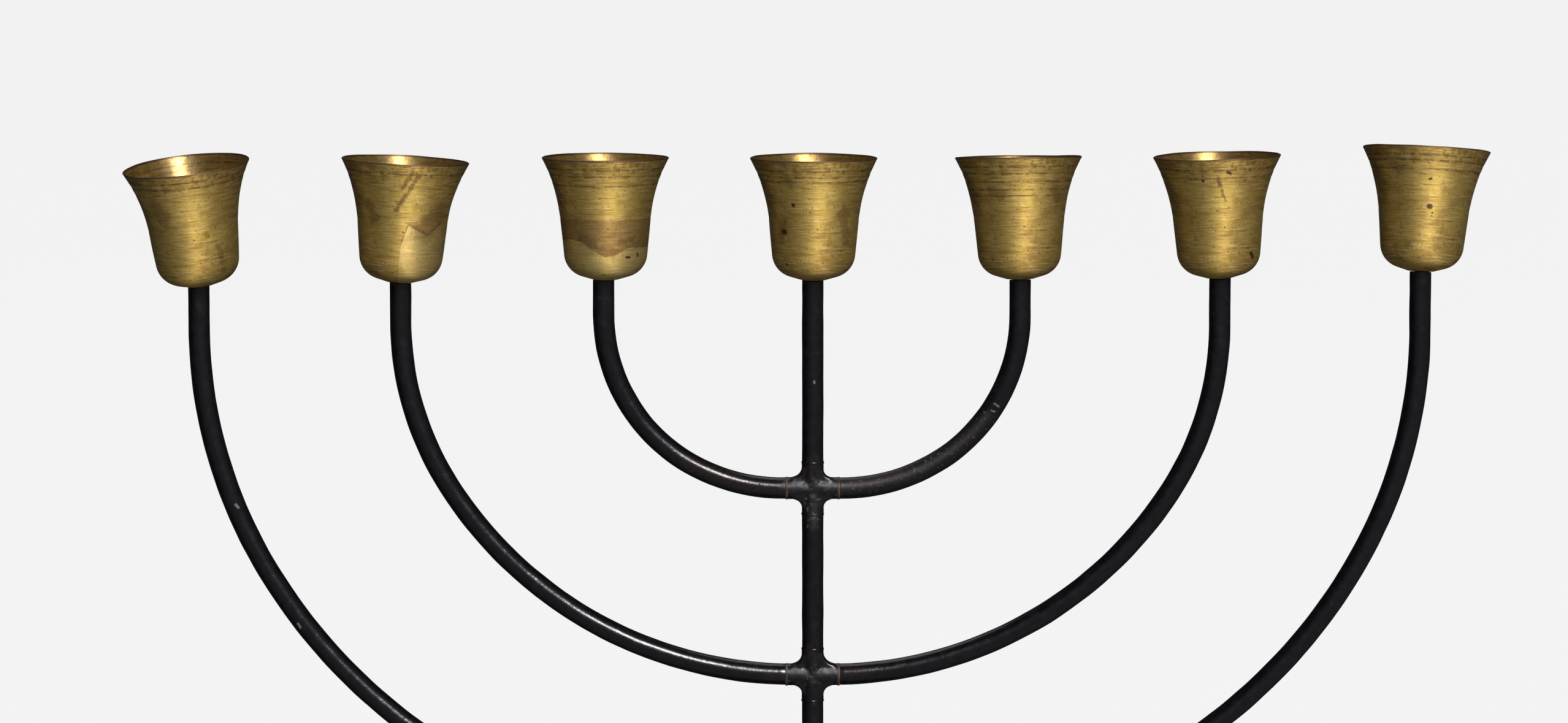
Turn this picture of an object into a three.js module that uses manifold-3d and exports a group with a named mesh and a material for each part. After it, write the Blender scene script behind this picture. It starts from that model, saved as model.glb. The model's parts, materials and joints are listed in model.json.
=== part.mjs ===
// Seven-branch menorah: spun brass cups on bent round iron bars, on a round iron base.
// Millimetres, +Z up, +X to the menorah's right as seen from the front, front towards -Y.
// The origin is the centre of the underside, on the surface that the menorah stands on.
import * as THREE from "three";
import { mergeVertices } from "three/addons/utils/BufferGeometryUtils.js";
import Module from "manifold-3d";

const wasm = await Module();
wasm.setup();

// Driving dimensions, in millimetres and degrees.

const GAP = 0.3; // clearance left between neighbouring pieces
const BAR_RADIUS = 5; // stem and arms are all 10 mm round bar
const BAR_SIDES = 12;
const CUP_LEVEL = 435; // height of a level cup's seat on its bar

const CROSSINGS = {
  lower: CUP_LEVEL - 260.1,
  middle: CUP_LEVEL - 185.2,
  upper: CUP_LEVEL - 97.4,
};
const CROSS_LEG = 12; // from a crossing's centre to the end of each leg
const CROSS_FILLET = 3.5; // radius of the brazed corner between two legs
const CROSS_WEB = 6; // thickness of the braze in those corners
const SPIGOT = { radius: 2.6, length: 7.4 }; // turned-down bar end
const SOCKET = { radius: 3.1, depth: 8 }; // blind hole that a spigot goes into

// An arm drops straight from its cup, bends through `sweep` at the radius `bend`, then follows a
// wider arc until it is level at `level` from the stem's axis.
const ARMS = {
  arm_outer_left: { side: -1, crossing: "lower", reach: 285.8, bend: 222.6, sweep: 29.3, level: 37.3, steps: 26 },
  arm_middle_left: { side: -1, crossing: "middle", reach: 191.9, bend: 143.7, sweep: 32.1, level: 8.8, steps: 22 },
  arm_inner_left: { side: -1, crossing: "upper", reach: 97.4, bend: 80.4, sweep: 66.3, level: 13.5, steps: 18 },
  arm_inner_right: { side: 1, crossing: "upper", reach: 96.5, bend: 79.7, sweep: 59.3, level: 13.5, steps: 18 },
  arm_middle_right: { side: 1, crossing: "middle", reach: 189.5, bend: 143.4, sweep: 33.4, level: 8.8, steps: 22 },
  arm_outer_right: { side: 1, crossing: "lower", reach: 282.8, bend: 219.1, sweep: 28.2, level: 36, steps: 26 },
};
const ARM_SPARE = 4; // extra length above the seat, cut off square to the cup's axis

// One seat for each cup, from left to right: the bar that holds it, how far its screw is to +X of
// the bar's axis, how far it leans to +X and towards the front, and how far its height differs
// from the common level.
const SEATS = [
  { bar: "arm_outer_left", shift: 0.85, sideLean: -5.8, frontLean: 6, rise: -2.6 },
  { bar: "arm_middle_left", shift: -0.3, sideLean: 2.9, frontLean: 0.3, rise: -1.1 },
  { bar: "arm_inner_left", shift: 1.05, sideLean: 0, frontLean: 0, rise: 0.2 },
  { bar: "stem_top", shift: 0.37, sideLean: 0.1, frontLean: 0, rise: 0 },
  { bar: "arm_inner_right", shift: -0.17, sideLean: -0.7, frontLean: -2.9, rise: 0.3 },
  { bar: "arm_middle_right", shift: -0.37, sideLean: -1.5, frontLean: 0, rise: 0.9 },
  { bar: "arm_outer_right", shift: 0, sideLean: 3.1, frontLean: -6.5, rise: 4 },
];

// A bell cup of spun sheet: flat seat, crowned floor, round corner, tapered wall, flared rim.
const CUP = {
  wall: 1,
  hole: 2.4,
  seat: 6,
  crown: 15.5, // slope of the floor where it meets the corner
  cornerCentre: 8.1,
  cornerRadius: 11.3,
  taper: 5.5, // slope of the wall from the vertical
  flareStart: 27.7,
  flareRadius: 77,
  flareEnd: 28.2, // slope of the rim from the vertical
  sides: 20,
};

const SCREW_HEAD = { edge: 0.45, shoulder: 0.72, shoulderHeight: 0.88 }; // shares of a head's size
const CUP_SCREW = { shank: 2, reach: 7, head: 4, headHeight: 2.6, slotWidth: 1, slotDepth: 1.2 };
const CUP_WASHER = { hole: 2.3, radius: 4.5, thickness: 0.8 };
const CUP_TAPPED = { radius: 2.3, depth: 7.5 }; // hole in the bar's end for the cup's screw
const TRIM_SIDES = 12; // sides of screws, washers and the holes that they go through

const FELT = { radius: 90, thickness: 1.6 };
const BASE = { radius: 95, edge: 6, rounding: 2.5, centre: 11, boss: 16, spigotHole: 4.4, sides: 40 };
const COUNTERBORE = { radius: 9.5, depth: 5 };
const BASE_SPIGOT = 4; // radius of the stem's end inside the base
const BASE_SCREW = { shank: 2.5, reach: 20, head: 4.75, headHeight: 2.6, slotWidth: 1.2, slotDepth: 1.2 };
const BASE_WASHER = { hole: 2.8, radius: 8, thickness: 1 };
const BASE_TAPPED = 2.8; // radius of the hole in the stem's end for the base screw
const COLLAR = { hole: 5.3, foot: 13, neck: 7.6, footHeight: 3, lip: 1, height: 15, sides: 24 };

// Finishes.

const BLACKENED_IRON = { color: 0x1b1b1d, roughness: 0.5, metalness: 0.7 };
const BRASS = { color: 0xa8873f, roughness: 0.38, metalness: 1 };
const BRIGHT_STEEL = { color: 0x8d8d88, roughness: 0.4, metalness: 1 };
const FELT_CLOTH = { color: 0x1f2a22, roughness: 0.95, metalness: 0 };

// Geometry helpers.

const radians = THREE.MathUtils.degToRad;

// A piece turned about Z from [radius, height] pairs.
function turned(outline, sides) {
  const points = outline.map(([radius, height]) => new THREE.Vector2(radius, height));
  return new THREE.LatheGeometry(points, sides).rotateX(Math.PI / 2);
}

function rod(radius, bottom, top) {
  return turned([[0, bottom], [radius, bottom], [radius, top], [0, top]], BAR_SIDES);
}

// A washer, collar or other ring needs its outline closed on itself.
function ring(outline, sides) {
  return turned([...outline, outline[0]], sides);
}

function washer({ hole, radius, thickness }, bottom) {
  const top = bottom + thickness;
  return ring([[hole, bottom], [radius, bottom], [radius, top], [hole, top]], TRIM_SIDES);
}

function toSolid(geometry) {
  const plain = geometry.clone();
  plain.deleteAttribute("normal");
  plain.deleteAttribute("uv");
  const merged = mergeVertices(plain, 1e-4);
  const index = merged.index.array;
  const corners = [];
  for (let i = 0; i < index.length; i += 3) {
    const [a, b, c] = index.slice(i, i + 3);
    if (a !== b && b !== c && c !== a) corners.push(a, b, c);
  }
  return new wasm.Manifold(
    new wasm.Mesh({
      numProp: 3,
      vertProperties: new Float32Array(merged.attributes.position.array),
      triVerts: new Uint32Array(corners),
    }),
  );
}

function toGeometry(solid) {
  const mesh = solid.getMesh();
  const geometry = new THREE.BufferGeometry();
  geometry.setAttribute("position", new THREE.BufferAttribute(mesh.vertProperties, 3));
  geometry.setIndex(new THREE.BufferAttribute(mesh.triVerts, 1));
  geometry.computeVertexNormals();
  return geometry;
}

// Joins the geometries in `kept` and takes those in `cut` away from them.
function shaped(kept, cut) {
  let solid = kept.map(toSolid).reduce((whole, piece) => whole.add(piece));
  for (const geometry of cut) solid = solid.subtract(toSolid(geometry));
  return toGeometry(solid);
}

function piece(name, geometry, finish) {
  const mesh = new THREE.Mesh(geometry, new THREE.MeshStandardMaterial(finish));
  mesh.name = name;
  return mesh;
}

// Turns a geometry made along Z so that its top points along +X (side 1) or -X (side -1).
function sideways(geometry, side) {
  return geometry.rotateY((side * Math.PI) / 2);
}

// Seats.

function barX(bar) {
  const arm = ARMS[bar];
  return arm ? arm.side * arm.reach : 0;
}

// The place and lean of one cup; what is fixed by its screw is placed in this group.
function seatGroup({ bar, shift, sideLean, frontLean, rise }) {
  const group = new THREE.Group();
  group.position.set(barX(bar) + shift, 0, CUP_LEVEL + rise);
  group.rotation.set(radians(frontLean), radians(sideLean), 0);
  group.updateMatrix();
  return group;
}

// What is cut from a bar for its cup: all above the seat, and the tapped hole.
function seatCuts(seat) {
  const spare = 4 * ARM_SPARE;
  const above = new THREE.BoxGeometry(spare, spare, spare).translate(0, 0, spare / 2);
  const tapped = rod(CUP_TAPPED.radius, -CUP_TAPPED.depth, 1);
  return [above, tapped].map((geometry) => geometry.applyMatrix4(seat.matrix));
}

// Arms.

// A circular arc in the XZ plane, from one direction of its radius to another.
class Arc extends THREE.Curve {
  constructor(centreX, centreZ, radius, from, to) {
    super();
    Object.assign(this, { centreX, centreZ, radius, from, to });
  }

  getPoint(t, target = new THREE.Vector3()) {
    const angle = THREE.MathUtils.lerp(this.from, this.to, t);
    return target.set(
      this.centreX + this.radius * Math.cos(angle),
      0,
      this.centreZ + this.radius * Math.sin(angle),
    );
  }
}

// The centre line of a right-hand arm, from above its seat down to the stem's axis.
function armPath({ crossing, reach, bend, sweep, level }, top) {
  const turn = radians(sweep);
  const wide = (reach - level - bend * (1 - Math.cos(turn))) / Math.cos(turn);
  const crossingHeight = CROSSINGS[crossing];
  const wideX = level;
  const wideZ = crossingHeight + wide;
  const bendX = reach - bend;
  const bendZ = wideZ - (wide - bend) * Math.sin(turn);
  const path = new THREE.CurvePath();
  path.add(new THREE.LineCurve3(new THREE.Vector3(reach, 0, top), new THREE.Vector3(reach, 0, bendZ)));
  path.add(new Arc(bendX, bendZ, bend, 0, -turn));
  path.add(new Arc(wideX, wideZ, wide, -turn, -Math.PI / 2));
  const levelEnd = new THREE.Vector3(level, 0, crossingHeight);
  path.add(new THREE.LineCurve3(levelEnd, new THREE.Vector3(0, 0, crossingHeight)));
  return path;
}

function barSection() {
  const corners = [];
  for (let i = 0; i < BAR_SIDES; i += 1) {
    const angle = ((i + 0.5) * 2 * Math.PI) / BAR_SIDES;
    corners.push(new THREE.Vector2(BAR_RADIUS * Math.cos(angle), BAR_RADIUS * Math.sin(angle)));
  }
  return new THREE.Shape(corners);
}

function armGeometry(name, seat) {
  const arm = ARMS[name];
  const path = armPath(arm, seat.position.z + ARM_SPARE);
  const bar = new THREE.ExtrudeGeometry(barSection(), { steps: arm.steps, extrudePath: path });
  if (arm.side < 0) bar.rotateZ(Math.PI);
  const legEnd = CROSS_LEG + GAP;
  const cross = 2 * legEnd;
  const fitting = new THREE.BoxGeometry(cross, cross, cross).translate(0, 0, CROSSINGS[arm.crossing]);
  const spigot = rod(SPIGOT.radius, legEnd - SPIGOT.length, legEnd + 1);
  sideways(spigot, arm.side).translate(0, 0, CROSSINGS[arm.crossing]);
  const cut = shaped([bar], [fitting, ...seatCuts(seat)]);
  return shaped([cut, spigot], []);
}

// Crossings.

// The braze in the four corners of a crossing: a web with hollow round corners.
function brazeWeb() {
  const near = BAR_RADIUS;
  const far = BAR_RADIUS + CROSS_FILLET;
  const outline = new THREE.Shape();
  outline.moveTo(far, -near);
  outline.lineTo(far, near);
  outline.absarc(far, far, CROSS_FILLET, -Math.PI / 2, -Math.PI, true);
  outline.lineTo(-near, far);
  outline.absarc(-far, far, CROSS_FILLET, 0, -Math.PI / 2, true);
  outline.lineTo(-far, -near);
  outline.absarc(-far, -far, CROSS_FILLET, Math.PI / 2, 0, true);
  outline.lineTo(near, -far);
  outline.absarc(far, -far, CROSS_FILLET, Math.PI, Math.PI / 2, true);
  const web = new THREE.ExtrudeGeometry(outline, { depth: CROSS_WEB, curveSegments: 4, bevelEnabled: false });
  return web.translate(0, 0, -CROSS_WEB / 2).rotateX(Math.PI / 2);
}

// A four-way fitting with a blind socket in each leg, centred on the origin.
function crossGeometry() {
  const upright = rod(BAR_RADIUS, -CROSS_LEG, CROSS_LEG);
  const level = sideways(rod(BAR_RADIUS, -CROSS_LEG, CROSS_LEG), 1);
  const bottom = CROSS_LEG - SOCKET.depth;
  const socket = () => rod(SOCKET.radius, bottom, CROSS_LEG + 1);
  const sockets = [
    socket(),
    socket().rotateX(Math.PI),
    sideways(socket(), 1),
    sideways(socket(), -1),
  ];
  return shaped([upright, level, brazeWeb()], sockets);
}

// Stem.

// A stem bar between two crossings, with a spigot at each end.
function stemBar(lower, upper) {
  const bottom = CROSSINGS[lower] + CROSS_LEG + GAP;
  const top = CROSSINGS[upper] - CROSS_LEG - GAP;
  return turned(
    [
      [0, bottom - SPIGOT.length],
      [SPIGOT.radius, bottom - SPIGOT.length],
      [SPIGOT.radius, bottom],
      [BAR_RADIUS, bottom],
      [BAR_RADIUS, top],
      [SPIGOT.radius, top],
      [SPIGOT.radius, top + SPIGOT.length],
      [0, top + SPIGOT.length],
    ],
    BAR_SIDES,
  );
}

// The bar above the highest crossing, which carries the middle cup.
function stemTop(seat) {
  const bottom = CROSSINGS.upper + CROSS_LEG + GAP;
  const top = seat.position.z + ARM_SPARE;
  const bar = turned(
    [
      [0, bottom - SPIGOT.length],
      [SPIGOT.radius, bottom - SPIGOT.length],
      [SPIGOT.radius, bottom],
      [BAR_RADIUS, bottom],
      [BAR_RADIUS, top],
      [0, top],
    ],
    BAR_SIDES,
  );
  return shaped([bar], seatCuts(seat));
}

// Heights in the base, worked out from the floor up.
const baseBottom = FELT.thickness + GAP;
const baseTop = baseBottom + BASE.centre;
const boreCeiling = baseBottom + COUNTERBORE.depth;
const baseWasherTop = boreCeiling - GAP;
const baseHeadTop = baseWasherTop - BASE_WASHER.thickness - GAP;

// The bar from the base to the lowest crossing, with a bored spigot through the base plate.
function stemFoot() {
  const shoulder = baseTop + GAP;
  const spigotEnd = boreCeiling + GAP;
  const holeTop = baseHeadTop + BASE_SCREW.reach + 1;
  const top = CROSSINGS.lower - CROSS_LEG - GAP;
  return turned(
    [
      [0, holeTop],
      [BASE_TAPPED, holeTop],
      [BASE_TAPPED, spigotEnd],
      [BASE_SPIGOT, spigotEnd],
      [BASE_SPIGOT, shoulder],
      [BAR_RADIUS, shoulder],
      [BAR_RADIUS, top],
      [SPIGOT.radius, top],
      [SPIGOT.radius, top + SPIGOT.length],
      [0, top + SPIGOT.length],
    ],
    BAR_SIDES,
  );
}

// Base.

function basePlate() {
  const { radius, edge, rounding, boss, spigotHole, sides } = BASE;
  const outline = [[COUNTERBORE.radius, baseBottom]];
  for (let i = 0; i <= 4; i += 1) {
    const angle = ((i - 2) * Math.PI) / 4;
    const height = i < 2 ? rounding : edge - rounding;
    outline.push([
      radius - rounding + rounding * Math.cos(angle),
      baseBottom + height + rounding * Math.sin(angle),
    ]);
  }
  outline.push([boss, baseTop], [spigotHole, baseTop]);
  outline.push([spigotHole, boreCeiling], [COUNTERBORE.radius, boreCeiling]);
  return ring(outline, sides);
}

// A turned collar with a hollow flank, around the foot of the stem.
function stemCollar() {
  const { hole, foot, neck, footHeight, lip, height, sides } = COLLAR;
  const bottom = baseTop + GAP;
  const top = bottom + height;
  const flank = foot - neck;
  const outline = [[hole, bottom], [foot, bottom], [foot, bottom + footHeight]];
  for (let i = 1; i <= 4; i += 1) {
    const angle = (i * Math.PI) / 8;
    outline.push([
      foot - flank * Math.sin(angle),
      top - lip - (height - footHeight - lip) * Math.cos(angle),
    ]);
  }
  outline.push([neck, top], [hole, top]);
  return ring(outline, sides);
}

function feltPad() {
  return turned([[0, 0], [FELT.radius, 0], [FELT.radius, FELT.thickness], [0, FELT.thickness]], BASE.sides);
}

// A slotted round-head screw: its head stands on `seat`, and its shank goes down from there.
function slottedScrew({ shank, head, headHeight, slotWidth, slotDepth }, seat, length) {
  const top = seat + headHeight;
  const body = turned(
    [
      [0, seat - length],
      [shank, seat - length],
      [shank, seat],
      [head, seat],
      [head, seat + SCREW_HEAD.edge * headHeight],
      [SCREW_HEAD.shoulder * head, seat + SCREW_HEAD.shoulderHeight * headHeight],
      [0, top],
    ],
    TRIM_SIDES,
  );
  const slot = new THREE.BoxGeometry(3 * head, slotWidth, 2 * slotDepth).translate(0, 0, top);
  return shaped([body], [slot]);
}

// The base screw is the same kind, upside down.
function baseScrew() {
  return slottedScrew(BASE_SCREW, -baseHeadTop, BASE_SCREW.reach).rotateX(Math.PI);
}

// Cups.

// Half of a cup's outline, `inset` mm inside its outer face, from the screw hole to the rim.
function cupFace(inset, steps) {
  const crown = radians(CUP.crown);
  const taper = radians(CUP.taper);
  const floorEnd = CUP.cornerCentre + CUP.cornerRadius * Math.sin(crown);
  const centreZ = CUP.cornerRadius * Math.cos(crown) + floorEnd * Math.tan(crown / 2);
  const face = [[CUP.hole, inset], [CUP.seat, inset]];
  const along = (from, to, place) => {
    for (let i = 0; i <= steps; i += 1) face.push(place(THREE.MathUtils.lerp(from, to, i / steps)));
  };
  const corner = CUP.cornerRadius - inset;
  along(Math.PI / 2 - crown, taper, (slope) => [
    CUP.cornerCentre + corner * Math.cos(slope),
    centreZ - corner * Math.sin(slope),
  ]);
  const wallZ = centreZ - CUP.cornerRadius * Math.sin(taper);
  const wallR = CUP.cornerCentre + CUP.cornerRadius * Math.cos(taper);
  const flareR = wallR + (CUP.flareStart - wallZ) * Math.tan(taper) + CUP.flareRadius * Math.cos(taper);
  const flareZ = CUP.flareStart - CUP.flareRadius * Math.sin(taper);
  const flare = CUP.flareRadius + inset;
  along(taper, radians(CUP.flareEnd), (slope) => [
    flareR - flare * Math.cos(slope),
    flareZ + flare * Math.sin(slope),
  ]);
  return face;
}

function cupGeometry() {
  const outer = cupFace(0, 3);
  const inner = cupFace(CUP.wall, 3).reverse();
  return ring([...outer, ...inner], CUP.sides).translate(0, 0, GAP);
}

// Assembly.

const menorah = new THREE.Group();

SEATS.forEach((place, i) => {
  const number = i + 1;
  const seat = seatGroup(place);
  const holder = place.bar === "stem_top" ? stemTop(seat) : armGeometry(place.bar, seat);
  menorah.add(piece(place.bar, holder, BLACKENED_IRON));

  const washerBottom = GAP + CUP.wall + GAP;
  const headSeat = washerBottom + CUP_WASHER.thickness + GAP;
  seat.add(piece(`cup_${number}`, cupGeometry(), BRASS));
  seat.add(piece(`cup_washer_${number}`, washer(CUP_WASHER, washerBottom), BRASS));
  const screw = slottedScrew(CUP_SCREW, headSeat, headSeat + CUP_SCREW.reach);
  seat.add(piece(`cup_screw_${number}`, screw, BRASS));
  menorah.add(seat);
});

for (const [name, height] of Object.entries(CROSSINGS)) {
  const cross = piece(`cross_${name}`, crossGeometry(), BLACKENED_IRON);
  cross.position.z = height;
  menorah.add(cross);
}

menorah.add(
  piece("stem_upper", stemBar("middle", "upper"), BLACKENED_IRON),
  piece("stem_middle", stemBar("lower", "middle"), BLACKENED_IRON),
  piece("stem_foot", stemFoot(), BLACKENED_IRON),
  piece("stem_collar", stemCollar(), BLACKENED_IRON),
  piece("base_plate", basePlate(), BLACKENED_IRON),
  piece("base_washer", washer(BASE_WASHER, baseWasherTop - BASE_WASHER.thickness), BRIGHT_STEEL),
  piece("base_screw", baseScrew(), BRIGHT_STEEL),
  piece("felt_pad", feltPad(), FELT_CLOTH),
);

export default menorah;
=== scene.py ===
"""Seven-branch menorah: spun brass cups on bent round iron bars, brazed to a stem on a round base.

Metres, +Z up, +X to the menorah's right as seen from the front, and the front towards -Y.
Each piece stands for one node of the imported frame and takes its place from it.
"""

import json
import math
from collections import namedtuple

import bpy
from mathutils import Matrix, Vector


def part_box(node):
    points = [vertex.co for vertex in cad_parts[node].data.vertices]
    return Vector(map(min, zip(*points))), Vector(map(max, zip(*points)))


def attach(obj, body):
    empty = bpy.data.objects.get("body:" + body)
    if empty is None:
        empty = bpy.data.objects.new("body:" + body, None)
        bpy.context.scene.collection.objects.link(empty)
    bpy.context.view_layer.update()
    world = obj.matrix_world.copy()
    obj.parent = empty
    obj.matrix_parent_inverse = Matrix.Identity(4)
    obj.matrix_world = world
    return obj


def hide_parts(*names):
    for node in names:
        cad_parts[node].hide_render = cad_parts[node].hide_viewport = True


bl_info = {
    "name": "Menorah",
    "version": (1, 0, 0),
    "blender": (4, 5, 0),
    "location": "3D View > Sidebar > Menorah",
    "description": "Builds a seven-branch brass and iron menorah round its packed frame",
    "category": "Object",
}

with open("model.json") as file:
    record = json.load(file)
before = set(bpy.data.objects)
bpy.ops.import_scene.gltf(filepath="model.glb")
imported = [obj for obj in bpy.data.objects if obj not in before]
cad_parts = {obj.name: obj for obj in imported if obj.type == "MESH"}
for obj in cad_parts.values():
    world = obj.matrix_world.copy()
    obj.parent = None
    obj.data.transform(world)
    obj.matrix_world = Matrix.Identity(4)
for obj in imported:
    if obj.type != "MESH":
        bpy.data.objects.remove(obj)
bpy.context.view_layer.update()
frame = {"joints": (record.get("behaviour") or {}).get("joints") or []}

MM = 0.001
UP = Vector((0, 0, 1))
WELD = 0.00001  # points closer than this are merged
GAP = 0.3 * MM  # clearance left between neighbouring pieces


# Places taken from the frame.


def seat_matrix(joint):
    """Where a cup's seat is, with the cup's own axis turned from upright."""
    turn = UP.rotation_difference(Vector(joint["axis"])).to_matrix().to_4x4()
    return Matrix.Translation(joint["pos_m"]) @ turn


def crossing_height(tier):
    low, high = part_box(f"cross_{tier}")
    return (low.z + high.z) / 2


SEATS = {joint["child"]: seat_matrix(joint) for joint in frame["joints"]}
CROSSINGS = {tier: crossing_height(tier) for tier in ("upper", "middle", "lower")}
BASE_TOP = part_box("base_plate")[1].z

# Which bar holds which cup, and how each arm is bent: from the cup it drops straight at `reach`
# from the stem's axis, turns through `sweep` degrees at the radius `bend`, then follows a wider
# arc until it is level at the distance `level` from the stem's axis. Lengths are in millimetres.

Arm = namedtuple("Arm", "cup tier reach bend sweep level")

ARMS = {
    "arm_outer_left": Arm("cup_1", "lower", 285.8, 222.6, 29.3, 37.3),
    "arm_middle_left": Arm("cup_2", "middle", 191.9, 143.7, 32.1, 8.8),
    "arm_inner_left": Arm("cup_3", "upper", 97.4, 80.4, 66.3, 13.5),
    "arm_inner_right": Arm("cup_5", "upper", 96.5, 79.7, 59.3, 13.5),
    "arm_middle_right": Arm("cup_6", "middle", 189.5, 143.4, 33.4, 8.8),
    "arm_outer_right": Arm("cup_7", "lower", 282.8, 219.1, 28.2, 36.0),
}

# How far the braze fills each corner of a crossing, in millimetres, by the signs of X and Z.

FILLETS = {
    "upper": {(-1, 1): 5, (-1, -1): 4.2, (1, 1): 3.8, (1, -1): 3.8},
    "middle": {(-1, 1): 4.8, (-1, -1): 3.6, (1, 1): 5.4, (1, -1): 4.2},
    "lower": {(-1, 1): 5.2, (-1, -1): 4.6, (1, 1): 5.8, (1, -1): 5},
}

# What use and age have left on the front of each cup: round and long marks as
# (kind, x, height, x2, height2, radius) in millimetres on the cup.

CUP_MARKS = {
    "cup_1": [
        ("gilt", 7.5, 27, 7.8, 26.4, 1.3),
        ("pit", 8.5, 26, 8.5, 25.8, 0.4),
        ("stain", -14, 42, -11, 36, 3.5),
        ("stain", 12, 20, 13, 8, 1.5),
    ],
    "cup_2": [
        ("scuff", 8, 52, -2, 35, 1.0),
        ("scuff", 5, 53, 1, 46, 0.9),
        ("stain", 17, 33, 11, 26, 5.5),
        ("stain", -15, 36, -12, 31, 2.5),
        ("stain", -13, 6, -11, 5, 2),
    ],
    "cup_3": [
        ("stain", -11, 21, -5, 17, 2.2),
        ("stain", 8, 19.5, 13, 19.5, 1.3),
        ("gilt", -0.3, 3.3, -0.3, 3.3, 0.8),
        ("stain", 0, 16, 3, 14, 2.8),
        ("pit", 10, 11.8, 11.5, 11.4, 0.5),
        ("pit", 15, 13, 15.4, 12, 0.4),
    ],
    "cup_4": [
        ("pit", -9.4, 36, -9.4, 36, 0.9),
        ("pit", -14.2, 23.5, -13.4, 23.3, 1.2),
        ("stain", -12, 47, -11, 46, 1.8),
        ("stain", -14, 26, -15, 20, 2.6),
        ("stain", 14, 34, 15, 20, 2.6),
        ("pit", -12.6, 8.4, -12.2, 7.6, 0.4),
    ],
    "cup_5": [
        ("stain", -13, 41, -9, 40, 2.4),
        ("stain", 16, 44, 17, 38, 2.6),
        ("pit", -13, 10, -12.6, 9.4, 0.4),
    ],
    "cup_6": [
        ("pit", 3.3, 51, 4.5, 50.5, 0.7),
        ("pit", -8.3, 47, -8.3, 47, 0.8),
        ("pit", 11.4, 47, 11.4, 47, 0.7),
        ("scuff", -1.3, 48, 2, 38, 0.6),
        ("pit", 14, 12, 15, 10, 0.9),
    ],
    "cup_7": [
        ("pit", 0.3, 29.4, 0.9, 29.2, 1.1),
        ("pit", 1.8, 26.4, 1.8, 26.4, 0.5),
        ("pit", -0.4, 42, 0.2, 42.2, 0.5),
        ("stain", -15, 10.5, -8, 10.5, 0.9),
        ("stain", -13, 7, -11, 5.5, 0.9),
        ("stain", 16, 12, 15.5, 9, 0.9),
        ("stain", -17, 48, -14, 46, 2.2),
    ],
}

# Heights of the dark lines that the lathe tool left round each cup, in millimetres.

CUP_LINES = {
    "cup_1": (53.4, 50.5),
    "cup_2": (52.6,),
    "cup_3": (52.8, 49.6, 45.2),
    "cup_4": (52.4, 49.4, 47.2),
    "cup_5": (53, 49.8, 46, 42.4, 39.6),
    "cup_6": (52.2, 48.4),
    "cup_7": (53.2, 50.8, 46.8),
}

# Where the old lacquer ends on two of the cups: the height up to which it has gone brown, and
# the height of its lower edge at places across the front, in millimetres. Below that edge the
# brass is bare and brighter.

TIDE_LINES = {
    "cup_2": (
        -1,
        [(-30, 0), (-0.2, 0), (0.6, 19), (4, 28.6), (12.9, 23.6), (18.6, 29.5), (19.4, 0), (30, 0)],
    ),
    "cup_3": (29.3, [(-30, 17), (-16, 20), (-10, 19), (-5, 15), (0.3, 12), (5, 13), (11, 16), (30, 16)]),
}

# Rubbed and scratched places on the bars: (kind, x, z, x2, z2, radius) in millimetres.

IRON_MARKS = [
    ("copper", -58, 350, -30, 340, 3.0),
    ("copper", -27, 339, -17, 338, 2.2),
    ("copper", 17, 340, 44, 344, 3.0),
    ("copper", 66, 358, 74, 364, 2.0),
    ("copper", 1, 351, 1, 345, 2.6),
    ("copper", -2, 262, 1, 258, 2.2),
    ("copper", -22, 250, -15, 250, 1.6),
    ("copper", 15, 251, 24, 252, 1.8),
    ("copper", -15, 342, -15, 333, 1.4),
    ("copper", 13, 342, 14, 333, 1.2),
    ("copper", -286, 424, -283, 421, 1.0),
    ("pitted", 17, 339, 50, 347, 4.5),
    ("pitted", 50, 347, 80, 370, 4.5),
    ("pitted", 0, 334, 0, 322, 3.5),
    ("pitted", -10, 338, 10, 338, 4.5),
    ("pitted", -9, 250, 9, 250, 3.5),
    ("steel", -269, 330.5, -267.8, 329, 0.5),
    ("steel", -240.5, 274, -239.5, 272.5, 0.6),
    ("steel", 0.7, 388, 0.7, 387.6, 0.45),
    ("steel", 84.6, 377.8, 88.2, 375.4, 0.35),
    ("steel", 83.2, 374.6, 86.4, 373.4, 0.3),
    ("steel", -187, 420, -187.5, 409, 0.3),
]


# Sizes and finishes that a user would change.


def length(name, description, millimetres):
    return bpy.props.FloatProperty(
        name=name,
        description=description,
        default=millimetres * MM,
        min=0,
        unit="LENGTH",
        precision=4,
    )


def colour(name, description, default):
    return bpy.props.FloatVectorProperty(
        name=name, description=description, default=default, subtype="COLOR", size=3, min=0, max=1
    )


def share(name, description, default):
    return bpy.props.FloatProperty(
        name=name, description=description, default=default, min=0, max=1, subtype="FACTOR"
    )


class MENORAH_PG_bars(bpy.types.PropertyGroup):
    """Sizes of the round bars and of the crossings that join them."""

    radius: length("Bar radius", "Radius of the stem and arms", 5)
    step: length("Ring spacing", "Distance between the rings of points along a bar", 3)
    leg: length("Crossing leg", "From a crossing's centre to the end of each leg", 12)
    spigot_radius: length("Spigot radius", "Radius of a bar's turned-down end", 2.6)
    spigot_length: length("Spigot length", "Length of a bar's turned-down end", 7.4)
    socket_radius: length("Socket radius", "Radius of the hole that a spigot goes into", 3.1)
    socket_depth: length("Socket depth", "Depth of the hole that a spigot goes into", 8)
    tapped_radius: length("Tapped hole radius", "Radius of the hole for a cup's screw", 2.3)
    tapped_depth: length("Tapped hole depth", "Depth of the hole for a cup's screw", 7.5)
    unevenness: length("Unevenness", "How far the hand-worked surface rises and falls", 0.16)


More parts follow.
